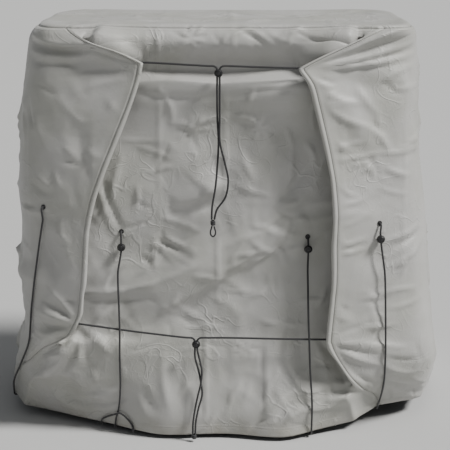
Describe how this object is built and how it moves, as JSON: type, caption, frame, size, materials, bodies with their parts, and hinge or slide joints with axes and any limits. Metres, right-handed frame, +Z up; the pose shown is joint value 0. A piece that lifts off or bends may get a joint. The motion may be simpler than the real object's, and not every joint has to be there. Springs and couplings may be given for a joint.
{
  "type": "pool heater cover",
  "caption": "Fitted cloth cover for a poolside heater, open at the bottom, with side flaps drawn over a pleated front by two drawcords and with cords running down to the hem.",
  "frame": {"origin": "under the middle of the top sheet, where the top of the covered heater carries the cover", "axes": "+X to the viewer's right across the front, +Y from the front to the back, +Z up; the front faces -Y"},
  "size_m": [1.1174, 0.7161, 0.9971],
  "materials": {
    "panel_front": "satin",
    "panel_left": "satin",
    "panel_right": "satin",
    "panel_back": "satin",
    "panel_top": "satin",
    "upper_drawcord_left": "matte",
    "upper_drawcord_right": "matte",
    "upper_knot": "matte",
    "upper_end_loop": "matte",
    "lower_drawcord_left": "matte",
    "lower_drawcord_right": "matte",
    "lower_knot": "matte",
    "left_outer_cord": "matte",
    "left_inner_cord": "matte",
    "left_inner_bridle": "matte",
    "right_inner_cord": "matte",
    "right_outer_cord": "matte",
    "upper_toggle": "gloss",
    "lower_toggle": "gloss",
    "left_inner_cord_toggle": "gloss",
    "right_inner_cord_toggle": "gloss",
    "right_outer_cord_toggle": "gloss",
    "left_outer_cord_eyelet": "matte",
    "left_inner_cord_eyelet": "matte",
    "right_inner_cord_eyelet": "matte",
    "right_outer_cord_eyelet": "matte"
  },
  "bodies": {
    "root": {"panel_front": "panel_front", "panel_left": "panel_left", "panel_right": "panel_right", "panel_back": "panel_back", "panel_top": "panel_top", "upper_drawcord_left": "upper_drawcord_left", "upper_drawcord_right": "upper_drawcord_right", "upper_knot": "upper_knot", "upper_end_loop": "upper_end_loop", "lower_drawcord_left": "lower_drawcord_left", "lower_drawcord_right": "lower_drawcord_right", "lower_knot": "lower_knot", "left_outer_cord": "left_outer_cord", "left_inner_cord": "left_inner_cord", "left_inner_bridle": "left_inner_bridle", "right_inner_cord": "right_inner_cord", "right_outer_cord": "right_outer_cord", "upper_toggle": "upper_toggle", "lower_toggle": "lower_toggle", "left_inner_cord_toggle": "left_inner_cord_toggle", "right_inner_cord_toggle": "right_inner_cord_toggle", "right_outer_cord_toggle": "right_outer_cord_toggle", "left_outer_cord_eyelet": "left_outer_cord_eyelet", "left_inner_cord_eyelet": "left_inner_cord_eyelet", "right_inner_cord_eyelet": "right_inner_cord_eyelet", "right_outer_cord_eyelet": "right_outer_cord_eyelet"}
  },
  "joints": []
}
